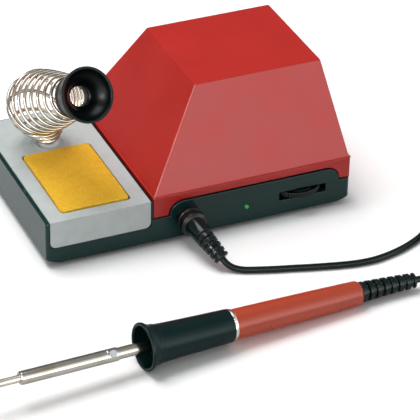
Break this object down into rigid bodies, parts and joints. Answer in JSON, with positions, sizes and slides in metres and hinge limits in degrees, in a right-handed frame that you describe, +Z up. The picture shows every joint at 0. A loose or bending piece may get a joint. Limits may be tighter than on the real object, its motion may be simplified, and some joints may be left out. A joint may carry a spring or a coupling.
{
  "type": "soldering station",
  "caption": "Soldering station: low base with a sponge tray and a wire coil iron holder, a sloping housing with a temperature thumbwheel, and a corded soldering iron.",
  "frame": {"origin": "on the table, in the middle of the rectangle that holds the station and the iron (the cord left out)", "axes": "+X along the station to the right, from the tray towards the housing; +Y towards the back; +Z up"},
  "size_m": [0.3878, 0.2742, 0.1229],
  "materials": {
    "base": "satin, fine grain",
    "housing": "satin",
    "rubber": "matte",
    "tray": "brushed",
    "sponge": "matte, ribbed",
    "spring": "bright wire",
    "light_metal": "satin",
    "funnel": "gloss black enamel",
    "black_plastic": "satin",
    "steel": "plain",
    "board": "satin",
    "lamp": "clear",
    "chip": "matte",
    "capacitor": "gloss",
    "resistor": "matte",
    "brass": "plain",
    "fuse_glass": "gloss",
    "core_steel": "laminated",
    "bobbin": "matte",
    "winding": "lacquered wire",
    "wire": "satin",
    "cord": "satin",
    "handle": "satin",
    "grip": "satin",
    "ring": "polished",
    "barrel": "heat-toned steel",
    "ceramic": "matte",
    "tip_iron": "plated and tinned"
  },
  "bodies": {
    "station": {"base_shell": "base", "housing_cover": "housing", "rubber_feet": "rubber", "cover_screws": "steel", "tray_plate": "tray", "sponge_dish": "light_metal", "holder_foot": "steel", "holder_screw": "steel", "holder_spring": "spring", "funnel_collar": "funnel", "funnel": "funnel", "dial_body": "black_plastic", "circuit_board": "board", "board_screws": "steel", "indicator_lamp": "lamp", "lamp_leads": "steel", "heatsink": "light_metal", "triac": "chip", "smoothing_capacitor": "capacitor", "control_chip": "chip", "resistors": "resistor", "fuse_clips": "brass", "fuse": "fuse_glass", "transformer_core": "core_steel", "transformer_bobbin": "bobbin", "transformer_winding": "winding", "transformer_clamp": "steel", "transformer_screws": "steel", "switch_frame": "black_plastic", "mains_gland": "rubber", "gland_nut": "black_plastic", "iron_socket": "black_plastic", "socket_nut": "steel", "inner_wires": "wire"},
    "wet_sponge": {"sponge": "sponge"},
    "dial": {"thumbwheel": "black_plastic", "dial_shaft": "light_metal"},
    "rocker": {"switch_rocker": "black_plastic"},
    "plug": {"plug_shell": "black_plastic", "plug_insert": "brass", "plug_boot": "cord", "cord_lead": "cord", "cord_coil": "cord", "cord_tail": "cord", "cord_tie": "cord"},
    "iron": {"iron_handle": "handle", "handle_ring": "ring", "iron_grip": "grip", "heater_tube": "barrel", "barrel_sleeve": "barrel", "barrel_screw": "steel", "heater_core": "ceramic", "heater_winding": "winding", "iron_relief": "cord", "iron_terminals": "ceramic", "iron_wires": "wire"},
    "tip": {"iron_tip": "tip_iron"}
  },
  "joints": [
    {"name": "dial_turn", "type": "hinge", "parent": "station", "child": "dial", "pos_m": [0.11385, 0.01148, 0.016], "axis": [0, 0, 1], "range_deg": [-135, 135]},
    {"name": "switch_rock", "type": "hinge", "parent": "station", "child": "rocker", "pos_m": [0.08585, 0.12608, 0.016], "axis": [0, 0, 1], "range_deg": [0, 16]},
    {"name": "sponge_lift", "type": "slide", "parent": "station", "child": "wet_sponge", "axis": [0, 0, 1], "range_m": [0, 0.006]},
    {"name": "plug_pull", "type": "slide", "parent": "station", "child": "plug", "axis": [0, -1, 0], "range_m": [0, 0.014]},
    {"name": "iron_lift", "type": "slide", "parent": "plug", "child": "iron", "axis": [0, 0, 1], "range_m": [0, 0.05]},
    {"name": "tip_pull", "type": "slide", "parent": "iron", "child": "tip", "axis": [-0.995, -0.0871, 0.0489], "range_m": [0, 0.045]}
  ]
}
